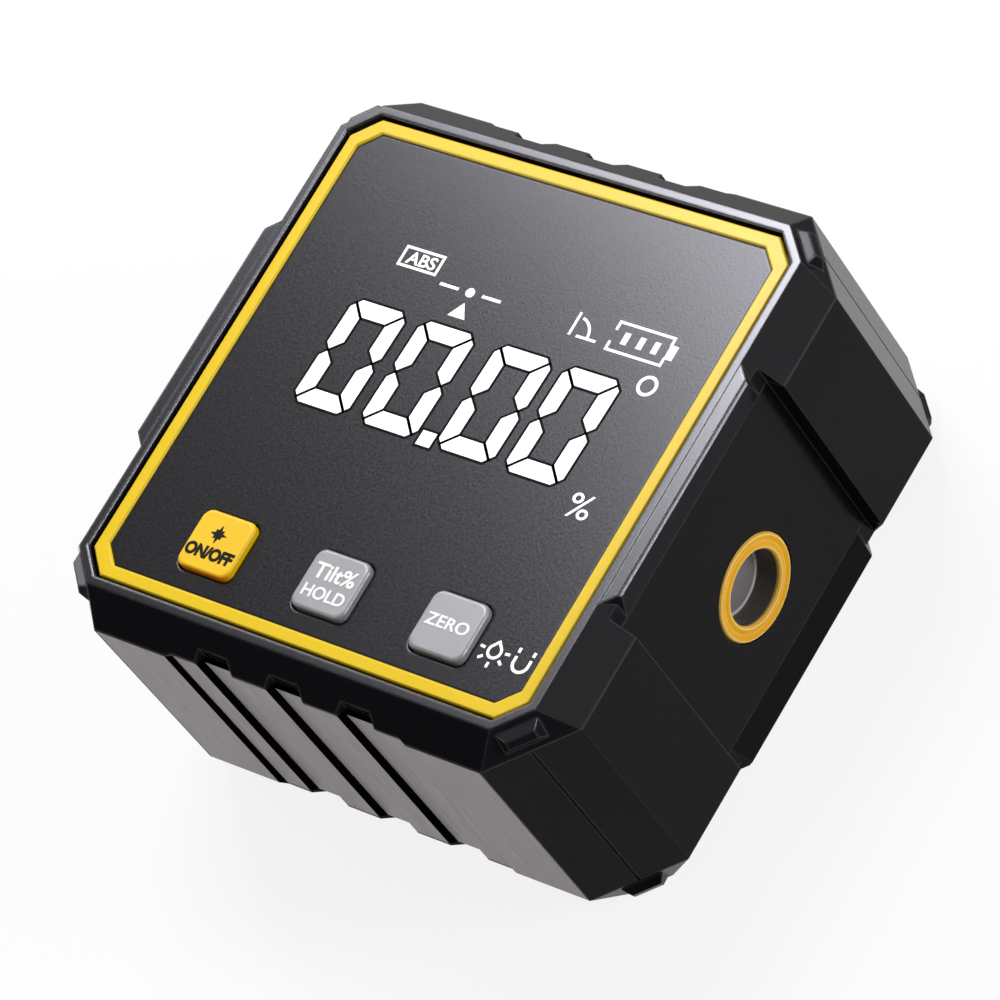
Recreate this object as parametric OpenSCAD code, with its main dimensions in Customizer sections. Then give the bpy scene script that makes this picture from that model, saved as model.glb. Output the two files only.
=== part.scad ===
// Digital angle gauge with a laser aperture, lying on its back with the display up.
// +X is to the right of the display, +Y to its top, +Z out of it. Millimetres.

/* [Housing] */
// Width and height across the flats
body_size = 61; // [56:0.5:72]
// Thickness from the back face to the front rim
depth = 31.4; // [29:0.2:38]
// Corner cut of the octagon on the side faces
corner_cut = 7.1; // [6:0.1:8]
// Corner cut of the octagon at the rim
rim_corner_cut = 3.2; // [2.6:0.1:3.8]
// Height of the bevelled edge, front and back
bevel_depth = 3.5; // [3:0.1:5]
// How far the bevel runs inwards
bevel_run = 3; // [2.5:0.1:3.2]
// Wall behind the side recess
side_wall = 3.2; // [2.6:0.1:3.2]
// Wall behind a corner face
corner_wall = 4.5; // [3.5:0.1:4.5]
// Floor of the back cover
cover_floor = 2.4; // [2:0.1:3]
// Wall of the skirts that locate the bezel and the back cover in the frame
skirt_wall = 1.1; // [0.8:0.1:1.1]
// Height of the back cover's skirt
skirt_h = 2; // [1:0.1:3]

/* [Side recess and tabs] */
// Depth of the recess in the left and right sides
recess_depth = 2; // [1.6:0.1:2.4]
// Half length of the recess
recess_half = 13.6; // [13.2:0.1:15]
// How far a tab stands out of the recess
tab_proud = 0.6; // [0.3:0.1:1.2]
// Half length of a tab at its outer edge
tab_half = 11.5; // [10:0.1:12]
// How far below the rim a tab's face lies
tab_drop = 0.05; // [0.05:0.05:0.5]
// Chamfer on a tab's outer edge
tab_chamfer = 0.3; // [0.1:0.05:0.5]

/* [Corner lugs] */
// Length of a lug at its foot
lug_length = 4.2; // [4:0.1:5.4]
// Width of a lug at its foot, along the bevel
lug_width = 2.2; // [1.8:0.1:2.8]
// Height of a lug over the bevel
lug_h = 0.8; // [0.4:0.1:1]
// Slope of a lug's sides, inwards per height
lug_slope = 0.8; // [0.4:0.1:1]
// How far a lug's foot is sunk in the bevel
lug_sink = 0.3; // [0.1:0.05:0.4]
// Width of the parting groove on a corner face
parting_w = 0.25; // [0.2:0.05:0.8]

/* [Measuring faces] */
// Half width of the lowered middle at its edge
step_half = 14.6; // [13.8:0.1:15.5]
// Width of the sloped step
step_run = 0.8; // [0.5:0.1:1.2]
// Depth of the lowered middle
step_drop = 0.35; // [0.2:0.05:0.6]
// Distance between grooves
groove_pitch = 8.6; // [8:0.1:8.8]
// Width of a groove at its mouth
groove_open = 4.6; // [4.4:0.1:5.4]
// Width of a groove's floor
groove_floor = 3; // [2.4:0.1:3.4]
// Depth of a groove below the lowered middle
groove_drop = 0.5; // [0.3:0.05:0.6]
// How much deeper a groove's notch in the bezel is
notch_extra = 0.5; // [0.3:0.05:0.8]
// Width of a notch's floor
notch_floor = 3.4; // [3:0.1:4]
// Thickness of a measuring plate
plate_t = 2; // [1.8:0.1:2.4]
// Border of frame left at a plate's ends
plate_border = 0.2; // [0.1:0.05:0.4]
// Width of a bar magnet
magnet_w = 5; // [4:0.1:6]
// Length of a bar magnet
magnet_l = 20; // [16:0.5:23]
// Thickness of a bar magnet
magnet_t = 2; // [1.5:0.1:2.2]

/* [Display] */
// Width of the yellow trim ring
trim_w = 1.4; // [1.2:0.1:1.8]
// How much wider the trim ring is across its corners
trim_mitre = 0.2; // [0:0.05:0.4]
// How far the trim ring stands over the display cover
trim_proud = 0.25; // [0.1:0.05:0.4]
// Chamfer of the trim ring's edges
trim_chamfer = 0.15; // [0.1:0.05:0.4]
// Width of the front rim
rim_w = 0.95; // [0.7:0.05:1.2]
// Chamfer of the rim's inner edge
rim_chamfer = 0.12; // [0.05:0.01:0.2]
// Open line between the trim ring and the rim
trim_gap = 0.3; // [0.2:0.05:0.4]
// Depth of the display cover below the rim
cover_recess = 0.6; // [0.4:0.05:0.9]
// Thickness of the display cover
cover_t = 1.4; // [1.2:0.1:1.6]
// Width of the ledge that carries cover and trim ring
ledge_w = 2.7; // [2.4:0.1:2.7]
// Room between the display holder and the bezel's skirt at its sides
holder_side_gap = 0.95; // [0.5:0.05:3]
// Room between the display holder and the bezel's skirt at its top
holder_top_gap = 5.45; // [4:0.05:7]
// Height of the display cell
lcd_h = 26; // [24:0.5:28]
// Thickness of the display cell
lcd_t = 2; // [1.6:0.1:2.4]
// Foam gasket between display cell and cover
gasket_t = 0.6; // [0.4:0.1:0.9]
// Width of the gasket's band
gasket_w = 1.6; // [1:0.1:2]
// Wall of the display holder
holder_wall = 1.15; // [0.8:0.05:1.2]
// Side rails of the display holder under the cell
holder_rail = 2; // [1.6:0.1:2.4]
// Upper and lower rails of the display holder under the cell
holder_bar = 3; // [2.6:0.1:3.4]
// Thickness of the backlight
backlight_t = 2.6; // [2.2:0.1:3.2]
// Width of a contact strip
strip_w = 1.6; // [1.2:0.1:1.8]

/* [Keys] */
// Width of a key
key_w = 6.4; // [6:0.1:7]
// Height of a key
key_h = 6.2; // [5.8:0.05:6.4]
// Corner radius of a key
key_r = 1; // [0.6:0.1:1.4]
// Distance of an outer key's middle from the display cover's side, less the shift
key_side = 10.9; // [10:0.1:12]
// Middle key's distance from the face's middle line
key_shift = 0.5; // [0:0.1:1]
// Border of the display cover below the keys
key_border = 2.1; // [1.6:0.05:3]
// How far a key stands over the display cover
key_proud = 0.7; // [0.4:0.05:1]
// Gap round a key
key_gap = 0.2; // [0.15:0.05:0.3]
// Rounding of a key's upper edge
key_round = 0.3; // [0.2:0.05:0.6]
// Travel of a key
key_travel = 0.5; // [0.3:0.05:0.5]
// Border of the flange that keeps a key in
flange_border = 0.6; // [0.4:0.05:0.6]
// Thickness of the flange
flange_t = 0.8; // [0.6:0.05:0.8]
// Side of a push switch
switch_w = 5; // [4.5:0.1:6]
// Height of a push switch's case
switch_h = 2.6; // [2.4:0.1:3]
// Wall of a push switch's case
switch_wall = 0.5; // [0.4:0.05:0.6]
// Radius of a switch plunger
plunger_r = 1.2; // [0.9:0.05:1.4]
// Rim of the foot that keeps a plunger in its switch
foot_rim = 0.5; // [0.3:0.05:0.6]
// Rim of a key's stem over its plunger
stem_rim = 0.3; // [0.1:0.05:0.6]

/* [Electronics] */
// Thickness of the circuit board
board_t = 1.2; // [1:0.1:1.6]
// Radius of the screw bosses
boss_r = 3.2; // [2.8:0.1:3.4]
// How far a boss's centre lies inside the corner wall
boss_inset = 3.05; // [2.8:0.05:3.1]
// Radius of the board screws
board_screw_r = 0.8; // [0.6:0.05:1]
// Length of the board screws in the boss
board_screw_l = 5; // [4:0.1:7]
// Radius of the cover screws
cover_screw_r = 1; // [0.8:0.05:1.2]
// Length of the cover screws in the boss
cover_screw_l = 8; // [5:0.1:9]
// Radius of a cover screw's head
cover_head_r = 2.3; // [2:0.1:2.6]
// Height of a cover screw's head
cover_head_h = 1.2; // [1:0.1:1.4]
// Length of the cross in a cover screw's head
cross_l = 2.8; // [2:0.1:3.4]
// Width of the cross in a cover screw's head
cross_w = 0.5; // [0.3:0.05:0.7]
// Depth of the cross in a cover screw's head
cross_d = 0.6; // [0.3:0.05:0.8]
// Side of the controller chip
chip_w = 7; // [6:0.5:10]
// Height of the controller chip
chip_t = 1.2; // [0.8:0.1:1.6]
// Controller chip's distance left of the board's middle
chip_left = 12; // [4:0.5:18]
// Controller chip's distance above the board's middle
chip_up = 8; // [-10:0.5:16]
// Side of the tilt sensor
sensor_w = 5; // [4:0.5:6]
// Height of the tilt sensor
sensor_t = 1.4; // [1:0.1:2]
// Tilt sensor's distance below the board's middle
sensor_down = 14; // [4:0.5:18]
// Room round the battery cell
battery_gap = 1.3; // [0.8:0.1:3]
// Thickness of the battery cell
battery_t = 8; // [6:0.5:10]
// Adhesive pad under the battery cell
battery_pad_t = 0.5; // [0.3:0.1:1]

/* [Laser] */
// Height of the laser axis over the back face
laser_z = 13.15; // [13:0.05:14]
// Outer radius of the laser trim ring
laser_ring_r = 5.3; // [5:0.1:6]
// Radius of the laser bore
laser_bore_r = 3.7; // [3.4:0.1:4]
// How far the laser trim ring stands over the recess
laser_ring_proud = 0.1; // [0:0.05:0.6]
// Chamfer of the laser trim ring's edges
laser_ring_edge = 0.2; // [0.1:0.05:0.35]
// Depth of the dished face of the laser trim ring
laser_ring_dish = 0.15; // [0:0.05:0.3]
// Seat depth of the laser trim ring
laser_ring_seat = 0.4; // [0.4:0.1:1.2]
// Shadow gap round the ring
laser_ring_gap = 0.15; // [0.05:0.05:0.3]
// Seat depth of the laser window, from inside the frame
window_seat = 0.5; // [0.2:0.1:0.8]
// Thickness of the laser window
window_t = 1; // [0.6:0.1:1.4]
// Radius of the laser window
window_r = 4.8; // [4.4:0.1:5.2]
// Outer radius of the laser barrel
barrel_r = 4.5; // [4.2:0.1:4.8]
// Wall of the laser barrel
barrel_wall = 1.3; // [1:0.1:1.6]
// Length of the laser barrel
barrel_l = 12; // [10:0.5:13]
// Thickness of the collimating lens
lens_t = 2; // [1:0.1:3]
// Distance from the window to the lens
lens_inset = 2; // [1:0.1:4]
// Length of the laser diode behind the barrel
diode_l = 1.6; // [1:0.1:2]
// Length of the laser diode inside the barrel
diode_reach = 3; // [2:0.1:4]
// Side of the laser driver board
driver_w = 10; // [8:0.5:12]
// Thickness of the laser driver board
driver_t = 1; // [0.8:0.1:1.6]
// Length of the cradle under the barrel
cradle_l = 6; // [4:0.5:8]
// Half width of the cradle
cradle_half = 6.5; // [6:0.1:7]

/* [Charge socket] */
// Width of the socket's shell
socket_w = 8.9; // [8.5:0.1:9.2]
// Height of the socket's shell
socket_h = 3.2; // [3:0.1:3.4]
// Length of the socket's shell
socket_l = 7.3; // [6.5:0.1:8]
// Thickness of the shell's sheet
socket_sheet = 0.3; // [0.2:0.05:0.4]
// How far the socket's mouth lies below the recess
socket_inset = 0.6; // [0.3:0.1:1]
// Thickness of the socket's contact tongue
tongue_t = 0.7; // [0.5:0.05:0.8]
// Room between the tongue and the shell at its ends
tongue_gap = 1.2; // [0.8:0.1:1.6]
// How far the tongue lies behind the socket's mouth
tongue_inset = 0.8; // [0.4:0.1:1.2]
// Thickness of the charge board
charge_board_t = 1; // [0.8:0.1:1.6]
// Length of the charge board
charge_board_l = 13; // [11:0.5:16]
// Radius of the posts under the charge board
post_r = 1.8; // [1.4:0.1:1.8]

/* [Hidden] */
$fn = 64;
slip = 0.05;
clear = 0.1;
run_clear = 0.15;
screw_end = 1;
socket_back = 1;
board_clear = 0.4;
half = body_size / 2;
diag = (2 * half - corner_cut) / sqrt(2);
corner_half = corner_cut / sqrt(2);
rim_half = half - bevel_run;
rim_diag = (2 * rim_half - rim_corner_cut) / sqrt(2);
front_z = depth - bevel_depth;
back_z = bevel_depth;
recess_x = half - recess_depth;
tab_x = recess_x + tab_proud;
cavity_half = recess_x - side_wall;
cavity_diag = diag - corner_wall;
skirt_half = cavity_half - clear;
skirt_diag = cavity_diag - clear;
skirt_inner = skirt_half - skirt_wall;
skirt_inner_diag = skirt_diag - skirt_wall;
plate_y = half - plate_t;
plate_half = half - corner_cut - plate_border;
opening_half = rim_half - rim_w;
opening_diag = rim_diag - rim_w;
trim_half = opening_half - trim_gap;
trim_diag = opening_diag - trim_gap;
trim_inner_half = trim_half - trim_w;
trim_inner_diag = trim_diag - trim_w - trim_mitre;
ledge_half = opening_half - ledge_w;
ledge_diag = opening_diag - ledge_w;
cover_top = depth - cover_recess;
ledge_z = cover_top - cover_t;
lcd_w = 2 * (skirt_inner - holder_side_gap - holder_wall);
lcd_y = skirt_inner - holder_top_gap - holder_wall - lcd_h / 2;
lcd_top = ledge_z - gasket_t;
lcd_z = lcd_top - lcd_t;
board_top = lcd_z - backlight_t;
board_z = board_top - board_t;
switch_top = board_top + switch_h;
stem_z = switch_top + key_travel + clear;
foot_h = switch_h - 2 * switch_wall - 2 * clear - key_travel;
key_y = key_border + key_h / 2 - trim_inner_half;
key_pitch = trim_inner_half - key_side;
flange_top = ledge_z - clear;
flange_z = flange_top - flange_t;
boss_xy = (cavity_diag - boss_inset) / sqrt(2);
corners = [[1, 1], [-1, 1], [-1, -1], [1, -1]];
groove_centres = [-groove_pitch, 0, groove_pitch];
window_x = cavity_half + window_seat - window_t;
barrel_x = window_x - barrel_l;
barrel_bore = barrel_r - barrel_wall;
socket_x = -recess_x + socket_inset;
battery_l = 2 * (boss_xy - boss_r - battery_gap);
battery_w = skirt_inner - cradle_half - 2 * battery_gap;
charge_board_w = 2 * cradle_half + battery_gap;
charge_board_x = clear - cavity_half;
charge_board_top = laser_z - socket_h / 2;
charge_board_z = charge_board_top - charge_board_t;
far = 3 * body_size;

// Mirrored outline of a stack of levels, each a height and a half width
function outline(levels) = concat(
    [for (level = levels) [level[1], level[0]]],
    [for (i = [len(levels) - 1:-1:0]) [-levels[i][1], levels[i][0]]]);

// Slab with that outline, standing across one pair of sides
module slab(levels, turn)
    rotate([0, 0, turn]) rotate([90, 0, 0])
        linear_extrude(far, center = true) polygon(outline(levels));

// Octagon solid whose flats and corner faces follow levels of [z, half, diagonal half]
module octagon(levels) {
    flats = [for (level = levels) [level[0], level[1]]];
    diagonals = [for (level = levels) [level[0], level[2]]];
    intersection() {
        slab(flats, 0);
        slab(flats, 90);
        slab(diagonals, 45);
        slab(diagonals, -45);
    }
}

module straight_octagon(half_width, half_diag, z, height)
    octagon([[z, half_width, half_diag], [z + height, half_width, half_diag]]);

module rounded_rect(w, h, r) {
    square([w - 2 * r, h], center = true);
    square([w, h - 2 * r], center = true);
    for (sx = [-1, 1], sy = [-1, 1])
        translate([sx * (w / 2 - r), sy * (h / 2 - r)]) circle(r);
}

// Room taken off a measuring face: the lowered middle and its grooves
module face_relief(extra, floor_w) {
    low = half - step_drop;
    bottom = low - groove_drop - extra;
    step_in = step_half - step_run;
    grooves = [for (c = groove_centres) each [[c - groove_open / 2, low],
        [c - floor_w / 2, bottom], [c + floor_w / 2, bottom], [c + groove_open / 2, low]]];
    linear_extrude(far, center = true)
        polygon(concat([[-step_half, half + 1], [-step_half, half], [-step_in, low]],
            grooves, [[step_in, low], [step_half, half], [step_half, half + 1]]));
}

module both_faces() {
    children();
    mirror([0, 1, 0]) children();
}

module both_sides() {
    children();
    mirror([1, 0, 0]) children();
}

// Recess in both sides between the end blocks
module side_recess()
    both_sides()
        translate([recess_x, -recess_half, -1]) cube([far, 2 * recess_half, depth + 2]);

// Tab of the bezel that fills the recess at the front, with splayed ends
module tab() {
    tab_z = depth - tab_drop;
    root = rim_half - rim_w;
    flare = tab_x - root;
    both_sides() intersection() {
        rotate([90, 0, 0]) linear_extrude(far, center = true)
            polygon([[root, front_z], [recess_x, front_z], [tab_x, tab_z - tab_chamfer],
                [tab_x - tab_chamfer, tab_z], [root, tab_z]]);
        linear_extrude(far)
            polygon([[root, tab_half + flare], [tab_x, tab_half],
                [tab_x, -tab_half], [root, -tab_half - flare]]);
    }
}

// Section of a corner lug over a foot of the given length
module lug_section(length)
    linear_extrude(far, center = true)
        polygon([[-lug_sink, -length / 2 - lug_slope * lug_sink],
            [lug_h, -length / 2 + lug_slope * lug_h],
            [lug_h, length / 2 - lug_slope * lug_h],
            [-lug_sink, length / 2 + lug_slope * lug_sink]]);

// Low pad with sloped sides on each corner of the front bevel
module corner_lugs()
    for (turn = [45:90:315])
        rotate([0, 0, turn])
            translate([(diag + rim_diag) / 2, 0, depth - bevel_depth / 2])
                rotate([0, atan2(rim_diag - diag, bevel_depth), 0]) intersection() {
                    lug_section(lug_length);
                    rotate([90, 0, 0]) lug_section(lug_width);
                }

// Bevelled edge ring shared by the bezel and, turned over, the back cover
module edge_ring() {
    difference() {
        octagon([[front_z, half, diag], [depth, rim_half, rim_diag]]);
        side_recess();
        both_faces() face_relief(notch_extra, notch_floor);
    }
    tab();
    corner_lugs();
}

module skirt(z, height)
    difference() {
        straight_octagon(skirt_half, skirt_diag, z, height);
        straight_octagon(skirt_inner, skirt_inner_diag, z - 1, height + 2);
    }

module front_bezel()
    color("#141416") {
        difference() {
            edge_ring();
            octagon([[ledge_z, opening_half, opening_diag],
                [depth - rim_chamfer, opening_half, opening_diag],
                [depth, opening_half + rim_chamfer, opening_diag + rim_chamfer],
                [depth + 1, opening_half + rim_chamfer, opening_diag + rim_chamfer]]);
            straight_octagon(ledge_half, ledge_diag, front_z - 1, depth);
        }
        skirt(board_top, ledge_z - board_top);
    }

// One corner face of the frame, with the parting groove in its middle
function corner_outline(turn) = [for (p = [[0, -corner_half], [0, -parting_w / 2],
    [-parting_w, -parting_w / 2], [-parting_w, parting_w / 2], [0, parting_w / 2],
    [0, corner_half]]) [(diag + p[0]) * cos(turn) - p[1] * sin(turn),
        (diag + p[0]) * sin(turn) + p[1] * cos(turn)]];

module frame_blank()
    translate([0, 0, back_z]) linear_extrude(front_z - back_z)
        polygon([for (turn = [45:90:315]) each corner_outline(turn)]);

module bosses()
    for (c = corners)
        translate([c[0] * boss_xy, c[1] * boss_xy, back_z])
            cylinder(r = boss_r, h = board_z - back_z);

module body_frame()
    color("#1a1a1c")
        difference() {
            union() {
                difference() {
                    frame_blank();
                    side_recess();
                    straight_octagon(cavity_half, cavity_diag, back_z - 1, depth);
                }
                bosses();
            }
            both_faces() {
                translate([-plate_half - slip, plate_y, 0])
                    cube([2 * (plate_half + slip), far, depth]);
                for (c = groove_centres)
                    translate([c - magnet_w / 2 - slip, plate_y - magnet_t - slip,
                        depth / 2 - magnet_l / 2 - slip])
                        cube([magnet_w + 2 * slip, far, magnet_l + 2 * slip]);
            }
            for (c = corners) translate([c[0] * boss_xy, c[1] * boss_xy, 0]) {
                translate([0, 0, board_z - board_screw_l])
                    cylinder(r = board_screw_r + slip, h = far);
                cylinder(r = cover_screw_r + slip, h = back_z + cover_screw_l);
            }
            translate([cavity_half - 1, 0, laser_z]) rotate([0, 90, 0]) {
                cylinder(r = laser_bore_r, h = far);
                cylinder(r = window_r + slip, h = 1 + window_seat);
            }
            translate([recess_x - laser_ring_seat, 0, laser_z]) rotate([0, 90, 0])
                cylinder(r = laser_ring_r + laser_ring_gap, h = far);
            translate([-recess_x - 1, 0, laser_z]) rotate([90, 0, 90])
                linear_extrude(side_wall + 2)
                    rounded_rect(socket_w + 2 * clear, socket_h + 2 * clear,
                        socket_h / 2 + clear - slip);
        }

module back_cover()
    color("#141416") {
        post_y = charge_board_w / 2 - post_r;
        post_x = charge_board_x + charge_board_l - post_r;
        difference() {
            translate([0, 0, depth]) mirror([0, 0, 1]) edge_ring();
            straight_octagon(skirt_inner, skirt_inner_diag, cover_floor, depth);
            for (c = corners) translate([c[0] * boss_xy, c[1] * boss_xy, -1]) {
                cylinder(r = cover_head_r + clear, h = 1 + cover_head_h + clear);
                cylinder(r = cover_screw_r + clear, h = depth);
            }
        }
        difference() {
            skirt(cover_floor, back_z + skirt_h - cover_floor);
            for (c = corners) translate([c[0] * boss_xy, c[1] * boss_xy, 0])
                translate([0, 0, back_z]) cylinder(r = boss_r + clear, h = depth);
        }
        for (c = corners) translate([c[0] * boss_xy, c[1] * boss_xy, cover_floor])
            difference() {
                cylinder(r = boss_r, h = back_z - cover_floor);
                cylinder(r = cover_screw_r + clear, h = depth);
            }
        for (sy = [-1, 1]) translate([post_x, sy * post_y, cover_floor / 2])
            cylinder(r = post_r, h = charge_board_z - cover_floor / 2);
    }

module measuring_plate()
    difference() {
        translate([-plate_half, plate_y, back_z])
            cube([2 * plate_half, plate_t, front_z - back_z]);
        face_relief(0, groove_floor);
    }

module lower_measuring_plate() color("#8c8584") mirror([0, 1, 0]) measuring_plate();

module upper_measuring_plate() color("#8c8584") measuring_plate();

module trim_ring()
    color("#f2cf2c") {
        top = cover_top + trim_proud;
        difference() {
            octagon([[ledge_z, trim_half, trim_diag], [top - trim_chamfer, trim_half, trim_diag],
                [top, trim_half - trim_chamfer, trim_diag - trim_chamfer]]);
            octagon([[ledge_z - 1, trim_inner_half, trim_inner_diag],
                [top - trim_chamfer, trim_inner_half, trim_inner_diag],
                [top, trim_inner_half + trim_chamfer, trim_inner_diag + trim_chamfer],
                [top + 1, trim_inner_half + trim_chamfer, trim_inner_diag + trim_chamfer]]);
        }
    }

function key_x(i) = key_shift + i * key_pitch;

module display_cover()
    color("#3c3c40")
        difference() {
            straight_octagon(trim_inner_half - slip, trim_inner_diag - slip, ledge_z, cover_t);
            for (i = [-1:1]) translate([key_x(i), key_y, ledge_z - 1])
                linear_extrude(depth)
                    rounded_rect(key_w + 2 * key_gap, key_h + 2 * key_gap, key_r + key_gap);
        }

// Key cap with a rounded upper edge, a flange under the cover and a stem over its switch
module key(i)
    translate([key_x(i), key_y, 0]) {
        top = cover_top + key_proud;
        shoulder = top - key_round;
        translate([0, 0, flange_top]) linear_extrude(shoulder - flange_top)
            rounded_rect(key_w, key_h, key_r);
        hull() for (step = [0:0.25:1])
            translate([0, 0, shoulder + key_round * sin(90 * step) - slip])
                linear_extrude(slip)
                    rounded_rect(key_w - 2 * key_round * (1 - cos(90 * step)),
                        key_h - 2 * key_round * (1 - cos(90 * step)), key_r, $fn = 32);
        translate([0, 0, flange_z]) linear_extrude(flange_t)
            rounded_rect(key_w + 2 * flange_border, key_h + 2 * flange_border, key_r);
        translate([0, 0, stem_z])
            cylinder(r = plunger_r + stem_rim, h = flange_top - stem_z);
    }

module power_key() color("#fbd02a") key(-1);
module hold_key() color("#b4b4b8") key(0);
module zero_key() color("#b4b4b8") key(1);

// Switch plunger: a post with a foot that keeps it in its case
module plunger(i)
    translate([key_x(i), key_y, 0]) {
        foot_top = switch_top - switch_wall - clear;
        translate([0, 0, foot_top]) cylinder(r = plunger_r, h = stem_z - foot_top);
        translate([0, 0, foot_top - foot_h]) cylinder(r = plunger_r + foot_rim, h = foot_h);
    }

module power_plunger() color("#26262a") plunger(-1);
module hold_plunger() color("#26262a") plunger(0);
module zero_plunger() color("#26262a") plunger(1);

module switch_case(i)
    translate([key_x(i), key_y, board_top])
        difference() {
            translate([-switch_w / 2, -switch_w / 2, 0]) cube([switch_w, switch_w, switch_h]);
            translate([0, 0, switch_wall]) {
                cylinder(r = plunger_r + run_clear, h = far);
                cylinder(r = plunger_r + foot_rim + run_clear, h = switch_h - 2 * switch_wall);
            }
        }

module power_switch() color("#b9bcc0") switch_case(-1);
module hold_switch() color("#b9bcc0") switch_case(0);
module zero_switch() color("#b9bcc0") switch_case(1);

module centred_block(w, h, z, t)
    translate([-w / 2, lcd_y - h / 2, z]) cube([w, h, t]);

module display_gasket()
    color("#232326")
        difference() {
            centred_block(lcd_w, lcd_h, lcd_top, gasket_t);
            centred_block(lcd_w - 2 * gasket_w, lcd_h - 2 * gasket_w, lcd_top - 1, gasket_t + 2);
        }

module display_cell() color("#4a4f52") centred_block(lcd_w, lcd_h, lcd_z, lcd_t);

module display_backlight()
    color("#e9ecef")
        centred_block(lcd_w - 2 * holder_rail - 2 * clear, lcd_h - 2 * holder_bar - 2 * clear,
            board_top, backlight_t);

// Slots in the holder's rails for the contact strips
module strips(grow)
    for (sy = [-1, 1])
        translate([0, lcd_y + sy * (lcd_h / 2 - holder_bar / 2), board_top])
            translate([-lcd_w / 2 + holder_rail - grow, -strip_w / 2 - grow, 0])
                cube([lcd_w - 2 * holder_rail + 2 * grow, strip_w + 2 * grow, backlight_t]);

module display_holder()
    color("#e4e4e0")
        difference() {
            centred_block(lcd_w + 2 * holder_wall, lcd_h + 2 * holder_wall,
                board_top, lcd_top - board_top);
            centred_block(lcd_w + 2 * slip, lcd_h + 2 * slip, lcd_z, far);
            centred_block(lcd_w - 2 * holder_rail, lcd_h - 2 * holder_bar, 0, far);
            strips(slip);
        }

module contact_strips() color("#c8b48a") strips(0);

module circuit_board()
    color("#1d5a3a")
        difference() {
            straight_octagon(cavity_half - board_clear, cavity_diag - board_clear,
                board_z, board_t);
            for (c = corners) translate([c[0] * boss_xy, c[1] * boss_xy, 0])
                cylinder(r = board_screw_r + clear, h = depth);
        }

module controller_chip()
    color("#202022")
        translate([-chip_left - chip_w / 2, chip_up - chip_w / 2, board_z - chip_t])
            cube([chip_w, chip_w, chip_t]);

module tilt_sensor()
    color("#2a2a2e")
        translate([-sensor_w / 2, -sensor_down - sensor_w / 2, board_z - sensor_t])
            cube([sensor_w, sensor_w, sensor_t]);

module board_screws()
    color("#b8bcc2")
        for (c = corners) translate([c[0] * boss_xy, c[1] * boss_xy, 0]) {
            translate([0, 0, board_z - board_screw_l + screw_end])
                cylinder(r = board_screw_r, h = board_screw_l - screw_end + board_t);
            translate([0, 0, board_top]) cylinder(r = 2 * board_screw_r, h = board_screw_r);
        }

// Turns a profile of [radius, distance along the axis] about the laser axis
module laser_turned(x)
    translate([x, 0, laser_z]) rotate([0, 90, 0]) rotate_extrude() children();

module laser_trim_ring()
    color("#f0b92e") {
        top = laser_ring_seat + laser_ring_proud;
        edge = laser_ring_edge;
        laser_turned(recess_x - laser_ring_seat)
            polygon([[laser_bore_r, 0], [laser_ring_r, 0], [laser_ring_r, top - edge],
                [laser_ring_r - edge, top],
                [(laser_ring_r + laser_bore_r) / 2, top - laser_ring_dish],
                [laser_bore_r + edge, top], [laser_bore_r, top - edge]]);
    }

module laser_window()
    color("#9aa0a4")
        laser_turned(window_x) polygon([[0, 0], [window_r, 0], [window_r, window_t], [0, window_t]]);

module laser_barrel()
    color("#b08d4a")
        laser_turned(barrel_x)
            polygon([[barrel_bore, 0], [barrel_r, 0], [barrel_r, barrel_l], [barrel_bore, barrel_l]]);

module laser_lens()
    color("#cfd8dc")
        translate([window_x - lens_inset - lens_t, 0, laser_z]) rotate([0, 90, 0])
            cylinder(r = barrel_bore - slip, h = lens_t);

module laser_diode()
    color("#c9b26a")
        translate([barrel_x - diode_l, 0, laser_z]) rotate([0, 90, 0]) {
            cylinder(r = barrel_bore + barrel_wall / 2, h = diode_l);
            cylinder(r = barrel_bore - slip, h = diode_l + diode_reach);
        }

module laser_driver_board()
    color("#1d5a3a")
        translate([barrel_x - diode_l - driver_t, -driver_w / 2, laser_z - driver_w / 2])
            cube([driver_t, driver_w, driver_w]);

module laser_cradle()
    color("#d8d8d2")
        difference() {
            translate([barrel_x + barrel_l / 2 - cradle_l / 2, -cradle_half, cover_floor])
                cube([cradle_l, 2 * cradle_half, laser_z - cover_floor]);
            translate([0, 0, laser_z]) rotate([0, 90, 0]) cylinder(r = barrel_r + slip, h = far);
        }

module magnets()
    for (c = groove_centres)
        translate([c - magnet_w / 2, plate_y - magnet_t, depth / 2 - magnet_l / 2])
            cube([magnet_w, magnet_t, magnet_l]);

module lower_magnets() color("#a9adb2") mirror([0, 1, 0]) magnets();
module upper_magnets() color("#a9adb2") magnets();

module battery_block(z, t)
    translate([-battery_l / 2, -cradle_half - battery_gap - battery_w, z])
        cube([battery_l, battery_w, t]);

module battery_cell() color("#9fb6c6") battery_block(cover_floor + battery_pad_t, battery_t);

module battery_pad() color("#e8e6da") battery_block(cover_floor, battery_pad_t);

module charge_socket()
    color("#c4c7cb")
        translate([socket_x, 0, laser_z]) rotate([90, 0, 90]) {
            difference() {
                linear_extrude(socket_l)
                    rounded_rect(socket_w, socket_h, socket_h / 2 - slip);
                translate([0, 0, -socket_back]) linear_extrude(socket_l)
                    rounded_rect(socket_w - 2 * socket_sheet, socket_h - 2 * socket_sheet,
                        socket_h / 2 - socket_sheet - slip);
            }
            translate([-socket_w / 2 + tongue_gap, -tongue_t / 2, tongue_inset])
                cube([socket_w - 2 * tongue_gap, tongue_t, socket_l - tongue_inset]);
        }

module charge_board()
    color("#1d5a3a")
        translate([charge_board_x, -charge_board_w / 2, charge_board_z])
            cube([charge_board_l, charge_board_w, charge_board_t]);

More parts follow.
